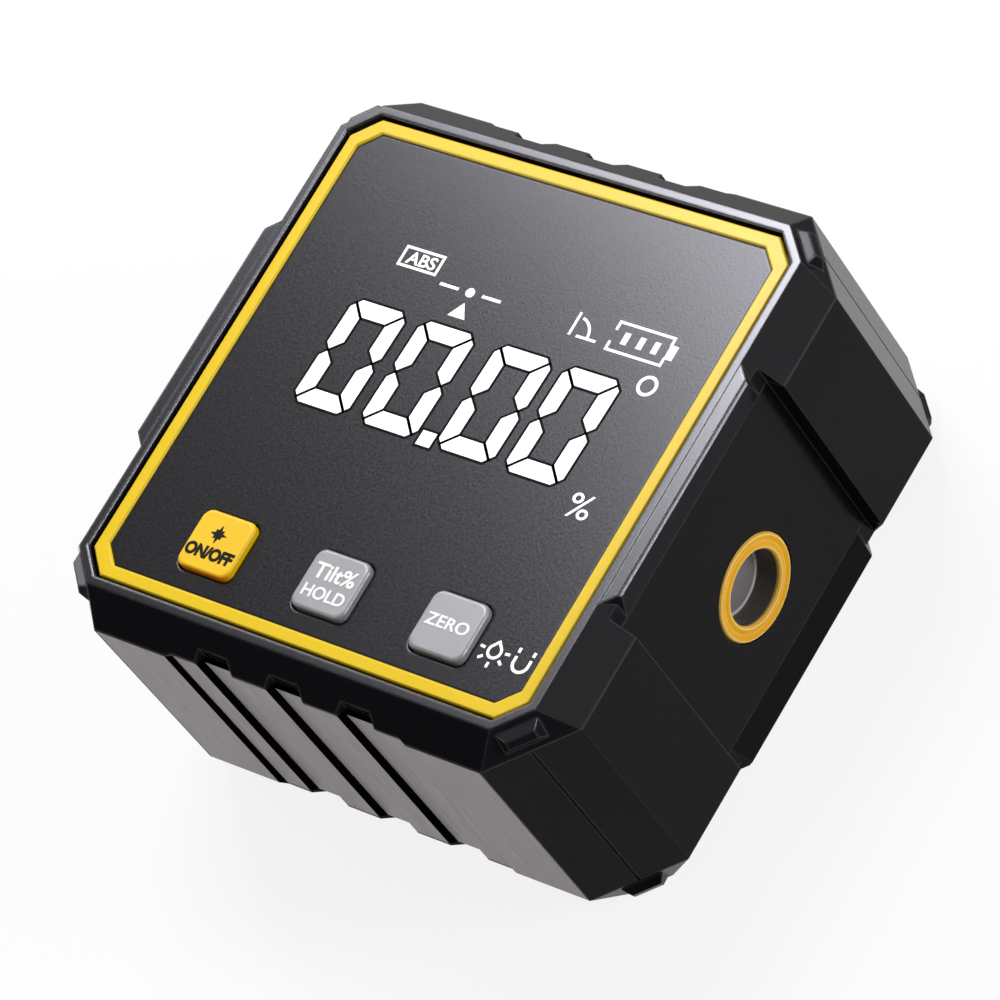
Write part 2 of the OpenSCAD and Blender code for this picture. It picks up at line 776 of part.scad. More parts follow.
module cover_screws()
    color("#2b2b2e")
        for (c = corners) translate([c[0] * boss_xy, c[1] * boss_xy, clear]) difference() {
            union() {
                cylinder(r = cover_head_r, h = cover_head_h);
                cylinder(r = cover_screw_r, h = back_z + cover_screw_l - screw_end);
            }
            for (turn = [0, 90]) rotate([0, 0, turn])
                translate([-cross_l / 2, -cross_w / 2, -1]) cube([cross_l, cross_w, 1 + cross_d]);
        }

front_bezel();
body_frame();
back_cover();
lower_measuring_plate();
upper_measuring_plate();
trim_ring();
display_cover();
power_key();
hold_key();
zero_key();
power_plunger();
hold_plunger();
zero_plunger();
power_switch();
hold_switch();
zero_switch();
display_gasket();
display_cell();
display_backlight();
display_holder();
contact_strips();
circuit_board();
controller_chip();
tilt_sensor();
board_screws();
laser_trim_ring();
laser_window();
laser_barrel();
laser_lens();
laser_diode();
laser_driver_board();
laser_cradle();
lower_magnets();
upper_magnets();
battery_cell();
battery_pad();
charge_socket();
charge_board();
cover_screws();
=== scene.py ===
import math

import bpy
import numpy as np
from mathutils import Matrix, Vector


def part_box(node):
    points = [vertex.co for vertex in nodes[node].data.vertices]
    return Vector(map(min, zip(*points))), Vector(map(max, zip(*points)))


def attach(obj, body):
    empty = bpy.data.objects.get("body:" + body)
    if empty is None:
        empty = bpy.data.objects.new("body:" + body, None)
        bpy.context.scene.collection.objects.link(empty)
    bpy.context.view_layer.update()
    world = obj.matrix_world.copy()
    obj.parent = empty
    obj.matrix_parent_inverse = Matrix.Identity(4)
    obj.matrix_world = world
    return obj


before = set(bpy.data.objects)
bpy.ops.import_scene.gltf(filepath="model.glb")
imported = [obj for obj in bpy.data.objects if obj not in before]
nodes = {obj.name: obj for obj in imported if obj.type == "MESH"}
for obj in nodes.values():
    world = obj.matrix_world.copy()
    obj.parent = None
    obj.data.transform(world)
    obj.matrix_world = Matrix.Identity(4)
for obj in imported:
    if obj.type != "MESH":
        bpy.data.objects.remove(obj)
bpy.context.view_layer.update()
mm = 0.001
print("frame loaded:", len(nodes), "nodes")


def hexColour(code):  # sRGB hex to linear RGBA
    srgb = np.array([int(code[i:i + 2], 16) for i in (1, 3, 5)]) / 255
    linear = np.where(srgb <= 0.04045, srgb / 12.92, ((srgb + 0.055) / 1.055) ** 2.4)
    return (*linear.tolist(), 1.0)


def addNode(tree, kind, settings=None, values=None, links=None):
    node = tree.nodes.new(kind)
    for name, value in (settings or {}).items():
        setattr(node, name, value)
    for socket, value in (values or {}).items():
        node.inputs[socket].default_value = value
    for socket, source in (links or {}).items():
        tree.links.new(source, node.inputs[socket])
    return node


def noiseAt(tree, place, size, detail):  # noise with cells of a size in mm
    return addNode(tree, "ShaderNodeTexNoise", values={"Scale": 1 / (size * mm), "Detail": detail},
                   links={"Vector": place}).outputs["Fac"]


def mapRange(tree, value, before, after):  # value carried from one pair of limits to another
    limits = {"From Min": before[0], "From Max": before[1], "To Min": after[0], "To Max": after[1]}
    return addNode(tree, "ShaderNodeMapRange", values=limits, links={"Value": value}).outputs["Result"]


def mathOf(tree, operation, values=None, links=None):
    return addNode(tree, "ShaderNodeMath", {"operation": operation}, values, links).outputs["Value"]


def vectorOf(tree, operation, output, values=None, links=None):
    return addNode(tree, "ShaderNodeVectorMath", {"operation": operation}, values, links).outputs[output]


def partOf(tree, vector, axis):  # one coordinate of a vector
    return addNode(tree, "ShaderNodeSeparateXYZ", links={"Vector": vector}).outputs[axis]


def mixTone(tree, share, low, high):
    # each tone is a hex code or a node's output, and goes to input 6 or 7, the mix node's colours
    ends = {6: low, 7: high}
    codes = {socket: hexColour(end) for socket, end in ends.items() if isinstance(end, str)}
    outputs = {socket: end for socket, end in ends.items() if socket not in codes}
    return addNode(tree, "ShaderNodeMix", {"data_type": "RGBA"}, codes, {0: share, **outputs}).outputs[2]


def startMaterial(name):
    material = bpy.data.materials.new(name)
    material.use_nodes = True
    material.node_tree.nodes.clear()
    return material, material.node_tree


# what the finishes share: the noise's detail, the band of noise that turns into roughness, the bevel's
# samples and usual radius in mm, and the dot products at which an edge, a wall or a face counts
shadeLook = {"patchDetail": 3.0, "grainDetail": 2.0, "noiseBand": (0.3, 0.7), "bevelSamples": 6,
             "edgeRadius": 0.1, "edgeSlope": (0.995, 0.9), "skirtSlope": (0.2, 0.8),
             "levelSlope": 0.68, "flushSlope": 0.97}


def finishMaterial(name, look):
    # two close tones drift over patches of a real size, a finer grain lifts the surface,
    # and the bevel radius rounds every edge so that it catches a thin line of light
    material, tree = startMaterial(name)
    place = addNode(tree, "ShaderNodeTexCoord").outputs["Object"]
    flat = addNode(tree, "ShaderNodeNewGeometry").outputs["Normal"]
    patches = noiseAt(tree, place, look["patchSize"], shadeLook["patchDetail"])
    grain = noiseAt(tree, place, look["grainSize"], shadeLook["grainDetail"])
    tone = mixTone(tree, patches, look["toneLow"], look["toneHigh"])
    rough = mapRange(tree, grain, shadeLook["noiseBand"], (look["roughLow"], look["roughHigh"]))
    rounded = addNode(tree, "ShaderNodeBevel", {"samples": shadeLook["bevelSamples"]},
                      {"Radius": look.get("edgeRadius", shadeLook["edgeRadius"]) * mm}).outputs["Normal"]
    grained = addNode(tree, "ShaderNodeBump",
                      values={"Strength": 1.0, "Distance": look["grainDepth"] * mm},
                      links={"Height": grain, "Normal": rounded})
    shader = addNode(tree, "ShaderNodeBsdfPrincipled", values=look.get("sockets", {}),
                     links={"Normal": grained.outputs["Normal"]})
    # a lighter tone is painted along each edge as a highlight line
    if "edgeHighlightTone" in look:  # the rounded normal leaves the flat one only along an edge
        along = vectorOf(tree, "DOT_PRODUCT", "Value", links={0: rounded, 1: flat})
        paintedEdgeHighlight = mapRange(tree, along, shadeLook["edgeSlope"], (0.0, look["edgeHighlightShare"]))
        tone = mixTone(tree, paintedEdgeHighlight, tone, look["edgeHighlightTone"])
    # a deeper tone is painted as shade on the wall that faces the user
    if "skirt" in look:  # the wall that faces the user, down the y axis, has a deeper tone
        facingUser = vectorOf(tree, "DOT_PRODUCT", "Value", {1: (0, -1, 0)}, {0: flat})
        skirtShare = mapRange(tree, facingUser, shadeLook["skirtSlope"], (0.0, 1.0))
        tone = mixTone(tree, skirtShare, tone, look["skirt"])
    if "bore" in look:
        # on the laser's side, what lies nearer to its axis than the radius, or farther, is toned
        bore = look["bore"]
        axisPoint = (0, bore["axis"][0] * mm, bore["axis"][1] * mm)
        across = vectorOf(tree, "MULTIPLY", "Vector", {1: (0, 1, 1)}, {0: place})
        reach = vectorOf(tree, "DISTANCE", "Value", {1: axisPoint}, {0: across})
        within = mathOf(tree, bore["side"], {1: bore["radius"] * mm}, {0: reach})
        onSide = mathOf(tree, "GREATER_THAN", {1: 0.0}, {0: partOf(tree, place, "X")})
        within = mathOf(tree, "MULTIPLY", links={0: within, 1: onSide})
        tone = mixTone(tree, within, tone, bore["tone"])
    if "polish" in look:
        # faces that lean less than 47 degrees from level are buffed, which takes their grain away
        polish = look["polish"]
        share = mathOf(tree, "GREATER_THAN", {1: shadeLook["levelSlope"]}, {0: partOf(tree, flat, "Z")})
        left = mathOf(tree, "SUBTRACT", {0: 1.0}, {1: share})
        tone = mixTone(tree, share, tone, polish["tone"])
        rough = addNode(tree, "ShaderNodeMix", {"data_type": "FLOAT"}, {3: polish["rough"]},
                        {0: share, 2: rough}).outputs[0]
        tree.links.new(left, grained.inputs["Strength"])
        tree.links.new(share, shader.inputs["Metallic"])
    tree.links.new(tone, shader.inputs["Base Color"])
    tree.links.new(rough, shader.inputs["Roughness"])
    addNode(tree, "ShaderNodeOutputMaterial", links={"Surface": shader.outputs["BSDF"]})
    return material


def dress(material, *names):
    for name in names:
        for slot in nodes[name].material_slots:
            slot.material = material


# black ABS moulded in a spark-eroded tool: a satin black with a very fine sand-like grain,
# its edges painted a little greyer as highlight lines
blackLook = {
    "toneLow": "#0a0a0d", "toneHigh": "#0e0e11", "patchSize": 6.0,
    "grainSize": 0.22, "grainDepth": 0.002, "roughLow": 0.18, "roughHigh": 0.25,
    "edgeRadius": 0.2, "edgeHighlightTone": "#4a4a4e", "edgeHighlightShare": 0.4,
    "sockets": {"IOR": 1.5, "Specular IOR Level": 0.05}}
dress(finishMaterial("blackMouldedAbs", blackLook), "back_cover")
# the frame is the same, but its laser bore is drilled after moulding, which leaves a greyer wall
ringLow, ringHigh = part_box("laser_trim_ring")
laserAxis = ((ringLow.y + ringHigh.y) / 2 / mm, (ringLow.z + ringHigh.z) / 2 / mm)
boreLook = dict(blackLook, bore={"axis": laserAxis, "side": "LESS_THAN", "radius": 3.8,
                                 "tone": "#4c4742"})
dress(finishMaterial("blackDrilledAbs", boreLook), "body_frame")
# the bezel is the same plastic from a smoother tool, its rim, tabs and chamfers buffed to a gloss, its edges
# painted a lighter grey as highlight lines
bezelLook = dict(blackLook, toneLow="#161619", toneHigh="#1a1a1d", grainDepth=0.001,
                 roughLow=0.09, roughHigh=0.15, edgeRadius=0.35, edgeHighlightTone="#77777d", edgeHighlightShare=0.3,
                 polish={"tone": "#545458", "rough": 0.21},
                 sockets={"IOR": 1.5, "Specular IOR Level": 0.012})
dress(finishMaterial("blackBuffedAbs", bezelLook), "front_bezel")

# yellow ABS trim, glossy from a polished tool: even colour, with bright chamfer lines painted on as
# highlights
yellowAbs = finishMaterial("yellowMouldedAbs", {
    "toneLow": "#e9c41a", "toneHigh": "#f0cc22", "patchSize": 9.0,
    "grainSize": 0.3, "grainDepth": 0.001, "roughLow": 0.2, "roughHigh": 0.27,
    "edgeRadius": 0.1, "edgeHighlightTone": "#ffe888", "edgeHighlightShare": 0.5,
    "sockets": {"IOR": 1.5, "Specular IOR Level": 0.3}})
dress(yellowAbs, "trim_ring")

# smoked acrylic with an anti-glare face: dark grey, a soft wide sheen broken by a fine sparkle
smokedAcrylic = finishMaterial("smokedAntiGlareAcrylic", {
    "toneLow": "#0a0a0d", "toneHigh": "#0e0e12", "patchSize": 2.2,
    "grainSize": 0.28, "grainDepth": 0.004, "roughLow": 0.19, "roughHigh": 0.25,
    "edgeRadius": 0.3,
    "sockets": {"IOR": 1.54, "Specular Tint": hexColour("#f1f0fa")}})
dress(smokedAcrylic, "display_cover")

# silicone-coated key caps: yellow and silver paint under a satin coat, their edges painted lighter as
# highlight lines;
# a deep orange is painted on the yellow cap's lower wall as shade
yellowCap = finishMaterial("yellowPaintedKey", {
    "toneLow": "#f0c00a", "toneHigh": "#f7ca10", "patchSize": 3.0,
    "grainSize": 0.25, "grainDepth": 0.003, "roughLow": 0.3, "roughHigh": 0.4,
    "edgeRadius": 0.12, "edgeHighlightTone": "#ffd85c", "edgeHighlightShare": 0.35, "skirt": "#ff9c08",
    "sockets": {"IOR": 1.47, "Specular IOR Level": 0.3}})
dress(yellowCap, "power_key")
silverCap = finishMaterial("silverPaintedKey", {
    "toneLow": "#8f8f94", "toneHigh": "#9c9ca1", "patchSize": 3.0,
    "grainSize": 0.25, "grainDepth": 0.003, "roughLow": 0.3, "roughHigh": 0.42,
    "edgeRadius": 0.12, "edgeHighlightTone": "#d8d8dc", "edgeHighlightShare": 0.4,
    "sockets": {"IOR": 1.5, "Metallic": 0.15}})
dress(silverCap, "hold_key", "zero_key")

# orange-yellow anodised ring round the laser bore, its edges painted pale as highlight lines, and a grey
# coated glass behind it, whose grey is partly a painted reflection, with a white ring painted round its edge
# as a glint
goldRing = finishMaterial("goldAnodisedRing", {
    "toneLow": "#d89a08", "toneHigh": "#e0a40e", "patchSize": 4.0,
    "grainSize": 0.2, "grainDepth": 0.002, "roughLow": 0.28, "roughHigh": 0.36,
    "edgeRadius": 0.3, "edgeHighlightTone": "#ffec9c", "edgeHighlightShare": 0.9,
    "sockets": {"IOR": 1.5, "Specular IOR Level": 0.12}})
dress(goldRing, "laser_trim_ring")
coatedGlass = finishMaterial("coatedWindowGlass", {
    "toneLow": "#a09a9e", "toneHigh": "#aea7ab", "patchSize": 5.0,
    "grainSize": 0.6, "grainDepth": 0.0005, "roughLow": 0.12, "roughHigh": 0.18,
    # the white ring round the glass's edge is a painted glint
    "edgeRadius": 0.08, "bore": {"axis": laserAxis, "side": "GREATER_THAN", "radius": 3.3, "tone": "#ffffff"},
    "sockets": {"IOR": 1.52, "Metallic": 0.55}})
dress(coatedGlass, "laser_window", "laser_lens")

# turned brass of the laser barrel and diode can
turnedBrass = finishMaterial("turnedBrass", {
    "toneLow": "#b08d45", "toneHigh": "#c4a05a", "patchSize": 1.5,
    "grainSize": 0.12, "grainDepth": 0.003, "roughLow": 0.22, "roughHigh": 0.34,
    "edgeRadius": 0.1, "sockets": {"Metallic": 1.0}})
dress(turnedBrass, "laser_barrel", "laser_diode")

# glass-fibre board under green solder mask: slightly cloudy gloss
solderMask = finishMaterial("solderMaskBoard", {
    "toneLow": "#0f4a2c", "toneHigh": "#176238", "patchSize": 1.2,
    "grainSize": 0.3, "grainDepth": 0.004, "roughLow": 0.25, "roughHigh": 0.4,
    "edgeRadius": 0.05, "sockets": {"IOR": 1.5}})
dress(solderMask, "circuit_board", "laser_driver_board", "charge_board")

# white and black moulded inner parts: plain matt nylon
whiteNylon = finishMaterial("whiteMouldedNylon", {
    "toneLow": "#dcdcd6", "toneHigh": "#e8e8e3", "patchSize": 4.0,
    "grainSize": 0.25, "grainDepth": 0.004, "roughLow": 0.5, "roughHigh": 0.6,
    "edgeRadius": 0.1, "sockets": {"IOR": 1.5}})
dress(whiteNylon, "display_backlight", "display_holder")
blackNylon = finishMaterial("blackMouldedNylon", {
    "toneLow": "#17171a", "toneHigh": "#202024", "patchSize": 3.0,
    "grainSize": 0.25, "grainDepth": 0.004, "roughLow": 0.45, "roughHigh": 0.58,
    "edgeRadius": 0.1, "sockets": {"IOR": 1.5}})
dress(blackNylon, "laser_cradle", "controller_chip", "tilt_sensor", "power_switch",
      "hold_switch", "zero_switch")

# plated steel: bright with a fine grain; the outer screws are black oxide, with lighter edges painted on as
# highlights
platedSteel = finishMaterial("nickelPlatedSteel", {
    "toneLow": "#b4b2ad", "toneHigh": "#c6c4bf", "patchSize": 1.0,
    "grainSize": 0.1, "grainDepth": 0.002, "roughLow": 0.2, "roughHigh": 0.32,
    "edgeRadius": 0.08, "sockets": {"Metallic": 1.0}})
dress(platedSteel, "board_screws", "charge_socket", "lower_magnets", "upper_magnets")
blackOxide = finishMaterial("blackOxideSteel", {
    "toneLow": "#1d1d1f", "toneHigh": "#2a2a2d", "patchSize": 0.8,
    "grainSize": 0.12, "grainDepth": 0.003, "roughLow": 0.32, "roughHigh": 0.45,
    "edgeRadius": 0.08, "edgeHighlightTone": "#5a5a5e", "edgeHighlightShare": 0.6,
    "sockets": {"Metallic": 1.0}})
dress(blackOxide, "cover_screws")

# closed-cell foam, carbon elastomer strips and silicone plungers: soft and dull
cellFoam = finishMaterial("closedCellFoam", {
    "toneLow": "#26262a", "toneHigh": "#323236", "patchSize": 0.8,
    "grainSize": 0.35, "grainDepth": 0.05, "roughLow": 0.8, "roughHigh": 0.95,
    "edgeRadius": 0.1, "sockets": {"IOR": 1.4}})
dress(cellFoam, "display_gasket", "battery_pad")
softElastomer = finishMaterial("siliconeElastomer", {
    "toneLow": "#8a8a8d", "toneHigh": "#98989b", "patchSize": 2.0,
    "grainSize": 0.3, "grainDepth": 0.004, "roughLow": 0.5, "roughHigh": 0.65,
    "edgeRadius": 0.1, "sockets": {"IOR": 1.42}})
dress(softElastomer, "power_plunger", "hold_plunger", "zero_plunger", "contact_strips")

# the display cell is two thin polarised glass plates: nearly black and glossy
cellGlass = finishMaterial("polarisedCellGlass", {
    "toneLow": "#16181c", "toneHigh": "#1b1e22", "patchSize": 8.0,
    "grainSize": 0.6, "grainDepth": 0.0005, "roughLow": 0.05, "roughHigh": 0.1,
    "edgeRadius": 0.05, "sockets": {"IOR": 1.52}})
dress(cellGlass, "display_cell")

# battery pouch foil: soft silver with shallow wrinkles
pouchFoil = finishMaterial("aluminiumPouchFoil", {
    "toneLow": "#a9abae", "toneHigh": "#bcbec1", "patchSize": 5.0,
    "grainSize": 2.5, "grainDepth": 0.08, "roughLow": 0.28, "roughHigh": 0.42,
    "edgeRadius": 0.2, "sockets": {"Metallic": 1.0}})
dress(pouchFoil, "battery_cell")


def groundAluminium(name, look):
    # aluminium bar, ground on its flats: a warm satin grey with fine grinding lines along the depth;
    # faces that lean off the flat, the groove walls, are painted black as shade
    material, tree = startMaterial(name)
    place = addNode(tree, "ShaderNodeTexCoord").outputs["Object"]
    flat = addNode(tree, "ShaderNodeNewGeometry").outputs["Normal"]
    lineCells = [1 / (size * mm) for size in (look["lineSize"], look["lineSize"], look["lineLength"])]
    drawn = addNode(tree, "ShaderNodeMapping", values={"Scale": lineCells},
                    links={"Vector": place}).outputs["Vector"]
    lines = addNode(tree, "ShaderNodeTexNoise", values={"Scale": 1.0, "Detail": look["lineDetail"]},
                    links={"Vector": drawn}).outputs["Fac"]
    patches = noiseAt(tree, place, look["patchSize"], look["patchDetail"])
    ground = mixTone(tree, patches, look["toneLow"], look["toneHigh"])
    flush = mathOf(tree, "ABSOLUTE", links={0: partOf(tree, flat, "Y")})
    isFlat = mathOf(tree, "GREATER_THAN", {1: shadeLook["flushSlope"]}, {0: flush})
    tone = mixTone(tree, isFlat, look["grooveShadeTone"], ground)
    rough = mapRange(tree, lines, shadeLook["noiseBand"], (look["roughLow"], look["roughHigh"]))
    rounded = addNode(tree, "ShaderNodeBevel", {"samples": shadeLook["bevelSamples"]},
                      {"Radius": look["edgeRadius"] * mm}).outputs["Normal"]
    normal = addNode(tree, "ShaderNodeBump",
                     values={"Strength": 1.0, "Distance": look["lineDepth"] * mm},
                     links={"Height": lines, "Normal": rounded}).outputs["Normal"]
    shader = addNode(tree, "ShaderNodeBsdfPrincipled", values={"Specular IOR Level": 0.0},
                     links={"Base Color": tone, "Roughness": rough, "Normal": normal, "Metallic": isFlat})
    addNode(tree, "ShaderNodeOutputMaterial", links={"Surface": shader.outputs["BSDF"]})
    return material


plateLook = {"toneLow": "#766f70", "toneHigh": "#7d7677", "grooveShadeTone": "#060606",
             "patchSize": 8.0, "patchDetail": 2.0, "lineSize": 0.25, "lineLength": 6.0,
             "lineDepth": 0.0012, "lineDetail": 3.0, "roughLow": 0.36, "roughHigh": 0.48,
             "edgeRadius": 0.08}
dress(groundAluminium("groundAluminium", plateLook), "lower_measuring_plate", "upper_measuring_plate")
print("finishes given to", len(nodes), "nodes")


def joinShells(shells):
    # stacks vertex arrays and shifts each shell's face indices by the vertices before it
    counts = np.cumsum([0] + [len(points) for points, faces in shells])
    points = np.vstack([points for points, faces in shells])
    faces = [[corner + start for corner in face] for start, (shell, rows) in zip(counts, shells)
             for face in rows]
    return points, faces


def offsetPath(path, shift, closed):
    # every point moves by shift along its mitred left normal, (n1 + n2) / (1 + n1.n2)
    path = np.asarray(path, float)
    if closed:
        before, after = np.roll(path, 1, 0), np.roll(path, -1, 0)
    else:
        before = np.vstack([2 * path[0] - path[1], path[:-1]])
        after = np.vstack([path[1:], 2 * path[-1] - path[-2]])
    inward, outward = path - before, after - path
    inward /= np.linalg.norm(inward, axis=1)[:, None]
    outward /= np.linalg.norm(outward, axis=1)[:, None]
    n1 = np.stack([-inward[:, 1], inward[:, 0]], 1)
    n2 = np.stack([-outward[:, 1], outward[:, 0]], 1)
    mitre = (n1 + n2) / (1 + (n1 * n2).sum(1))[:, None]
    return path + mitre * shift


def bandAlong(path, width, low, high, closed=False):
    # a rectangular section, width by high - low, carried along a flat path with mitred corners
    left, right = offsetPath(path, width / 2, closed), offsetPath(path, -width / 2, closed)
    count = len(left)
    ring = np.stack([np.c_[left, np.full(count, high)], np.c_[left, np.full(count, low)],
                     np.c_[right, np.full(count, low)], np.c_[right, np.full(count, high)]], 1)
    station = np.arange(count if closed else count - 1)
    ahead = (station + 1) % count
    corner = np.arange(4)
    nextCorner = (corner + 1) % 4
    here, there = station[:, None] * 4, ahead[:, None] * 4
    faces = np.stack([here + corner, here + nextCorner, there + nextCorner, there + corner], -1)
    faces = faces.reshape(-1, 4).tolist()
    if not closed:
        faces += [[3, 2, 1, 0], [4 * count - 4, 4 * count - 3, 4 * count - 2, 4 * count - 1]]
    return ring.reshape(-1, 3), faces


def plateOf(outline, low, high):
    # an anticlockwise outline lifted from low to high and closed by a top and a bottom face
    outline = np.asarray(outline, float)
    count = len(outline)
    points = np.vstack([np.c_[outline, np.full(count, low)], np.c_[outline, np.full(count, high)]])
    step = np.arange(count)
    ahead = (step + 1) % count
    walls = np.stack([step, ahead, ahead + count, step + count], 1).tolist()
    return points, walls + [step[::-1].tolist(), (step + count).tolist()]


def arcPath(centre, radius, start, end, count=24):
    # points at even angles, in degrees, on a circle
    angle = np.radians(np.linspace(start, end, count))
    return np.c_[centre[0] + radius * np.cos(angle), centre[1] + radius * np.sin(angle)]


def letterPlate(words, box, low, high, boldness=0.0):
    # the built-in letters turned to a mesh, then stretched so that their box fills the given one
    curve = bpy.data.curves.new("letters", "FONT")
    curve.body = words
    curve.extrude = 0.5  # any depth will do, since the box stretches it
    curve.offset = boldness
    holder = bpy.data.objects.new("letters", curve)
    bpy.context.scene.collection.objects.link(holder)
    bpy.context.view_layer.update()
    mesh = bpy.data.meshes.new_from_object(holder.evaluated_get(bpy.context.evaluated_depsgraph_get()))
    points = np.empty(len(mesh.vertices) * 3)
    mesh.vertices.foreach_get("co", points)
    points = points.reshape(-1, 3)
    faces = [list(polygon.vertices) for polygon in mesh.polygons]
    bpy.data.objects.remove(holder)
    bpy.data.meshes.remove(mesh)
    bpy.data.curves.remove(curve)
    lowest, highest = points.min(0), points.max(0)
    aim = np.array([[box[0], box[1], low], [box[2], box[3], high]])
    return aim[0] + (points - lowest) / (highest - lowest) * (aim[1] - aim[0]), faces


def makePiece(name, shells, material, body):
    points, faces = joinShells(shells)
    mesh = bpy.data.meshes.new(name)
    mesh.from_pydata((points * mm).tolist(), [], faces)
    mesh.validate()
    mesh.materials.append(material)
    piece = bpy.data.objects.new(name, mesh)
    bpy.context.scene.collection.objects.link(piece)
    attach(piece, body)


# lit display segments: an even white glow, a touch cooler in places
litSegment = finishMaterial("litDisplaySegment", {
    "toneLow": "#f2f2f4", "toneHigh": "#ffffff", "patchSize": 2.0,
    "grainSize": 0.3, "grainDepth": 0.0005, "roughLow": 0.4, "roughHigh": 0.5,
    "sockets": {"Emission Color": hexColour("#ffffff"), "Emission Strength": 0.45}})
# the unlit gap round each segment: black printed mask
darkMask = finishMaterial("blackPrintedMask", {
    "toneLow": "#0b0b0d", "toneHigh": "#101012", "patchSize": 1.5,
    "grainSize": 0.3, "grainDepth": 0.0005, "roughLow": 0.45, "roughHigh": 0.55,
    "sockets": {"IOR": 1.45, "Specular IOR Level": 0.05}})
# pad-printed inks on the key caps: slightly uneven, matt
whiteInk = finishMaterial("whitePadInk", {
    "toneLow": "#f0f0f0", "toneHigh": "#ffffff", "patchSize": 0.6,
    "grainSize": 0.15, "grainDepth": 0.002, "roughLow": 0.45, "roughHigh": 0.6,
    "sockets": {"IOR": 1.45}})
blackInk = finishMaterial("blackPadInk", {
    "toneLow": "#141210", "toneHigh": "#201d18", "patchSize": 0.6,
    "grainSize": 0.15, "grainDepth": 0.002, "roughLow": 0.45, "roughHigh": 0.6,
    "sockets": {"IOR": 1.45, "Specular IOR Level": 0.1}})

# films in mm: how far each sinks into its face, and how high the marks, the mask and the legends stand
filmLook = {"sink": 0.01, "mark": 0.03, "mask": 0.015, "legend": 0.03}
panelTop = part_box("display_cover")[1].z / mm
markLow, markHigh = panelTop - filmLook["sink"], panelTop + filmLook["mark"]
maskHigh = panelTop + filmLook["mask"]


def litMark(name, shells):
    makePiece(name, shells, litSegment, "housing")


def markBand(path, width, closed=False):
    return bandAlong(path, width, markLow, markHigh, closed)


def markPlate(outline):
    return plateOf(outline, markLow, markHigh)


digitLook = {"starts": [-15.36, -7.06, 2.14, 10.17], "width": 6.62, "base": -3.58, "top": 8.05,
             "stroke": 1.72, "gap": 0.3, "corner": 0.95, "border": 0.26, "slant": 0.03,
             "shoulder": 0.6, "tip": 0.35,
             "point": [[0.1, -3.92], [1.75, -3.92], [1.75, -2.37], [0.1, -2.37]]}


def zeroSegments(left, look):
    # six bars round a rectangle: ends cut at 45 degrees, outer corners clipped, pointed at mid height
    right, base, top = left + look["width"], look["base"], look["top"]
    width, middle = look["width"], (top - base) / 2 - look["gap"] / 2
    stroke, slit, corner = look["stroke"], look["gap"] / math.sqrt(2), look["corner"]
    clip = (corner - slit) / 2
    across = np.array([[corner, 0], [width - corner, 0], [width - clip - slit, clip],
                       [width - stroke - slit, stroke], [stroke + slit, stroke], [clip + slit, clip]])
    upright = np.array([[0, corner], [clip, clip + slit], [stroke, stroke + slit],
                        [stroke, middle - look["shoulder"] * stroke], [look["tip"] * stroke, middle],
                        [0, middle - look["tip"] * stroke]])
    across, upright = across + [left, base], upright + [left, base]
    flipY, mirrorX = np.array([1, -1]), np.array([-1, 1])
    overTop = (across * flipY + [0, base + top])[::-1]
    upper = (upright * flipY + [0, base + top])[::-1]
    lowerRight = (upright * mirrorX + [left + right, 0])[::-1]
    upperRight = lowerRight[::-1] * flipY + [0, base + top]
    return [across, upright, overTop, upper, lowerRight, upperRight]


segments = [segment for left in digitLook["starts"] for segment in zeroSegments(left, digitLook)]
segments.append(np.array(digitLook["point"]))
midHeight = (digitLook["base"] + digitLook["top"]) / 2
segments = [np.c_[segment[:, 0] + digitLook["slant"] * (segment[:, 1] - midHeight), segment[:, 1]]
            for segment in segments]  # x moves with height, so the digits lean to the right
litMark("displayDigits", [markPlate(segment) for segment in segments])
maskOutlines = [offsetPath(segment, -digitLook["border"], True) for segment in segments]
makePiece("displayDigitMask", [plateOf(outline, markLow, maskHigh) for outline in maskOutlines],
          darkMask, "housing")

levelLook = {"height": 11.99, "dashes": [[-7.44, -5.19], [-2.34, -0.13]], "line": 0.32,
             "dot": [-3.78, 11.99], "dotRadius": 0.5, "dotTurn": [0, 345],
             "pointer": [[-4.74, 9.2], [-2.7, 9.2], [-3.72, 10.85]]}
levelDashes = [[[x, levelLook["height"]] for x in dash] for dash in levelLook["dashes"]]
levelDot = arcPath(levelLook["dot"], levelLook["dotRadius"], *levelLook["dotTurn"])
litMark("levelMarks", [markBand(dash, levelLook["line"]) for dash in levelDashes]
        + [markPlate(levelDot), markPlate(levelLook["pointer"])])

absLook = {"frame": [[-13.04, 12.65], [-8.52, 12.65], [-8.52, 14.62], [-13.04, 14.62]], "line": 0.28,
           "letters": [-12.43, 12.95, -8.98, 14.3], "bold": 0.02}
litMark("absoluteModeMark", [
    markBand(absLook["frame"], absLook["line"], True),
    letterPlate("ABS", absLook["letters"], markLow, markHigh, absLook["bold"])])

angleLook = {"corner": [8.62, 11.05], "height": 13.45, "drop": 0.1, "foot": 0.8, "reach": 11.7,
             "arcStart": 0.12, "radius": 1.93, "sweep": [3, 78], "line": 0.28}
angleX, angleY = angleLook["corner"]
anglePaths = [[[angleX, angleY - angleLook["drop"]], [angleX, angleLook["height"]]],
              [[angleX + angleLook["foot"], angleY], [angleLook["reach"], angleY]],
              arcPath([angleX + angleLook["arcStart"], angleY], angleLook["radius"], *angleLook["sweep"])]
litMark("angleModeMark", [markBand(path, angleLook["line"]) for path in anglePaths])

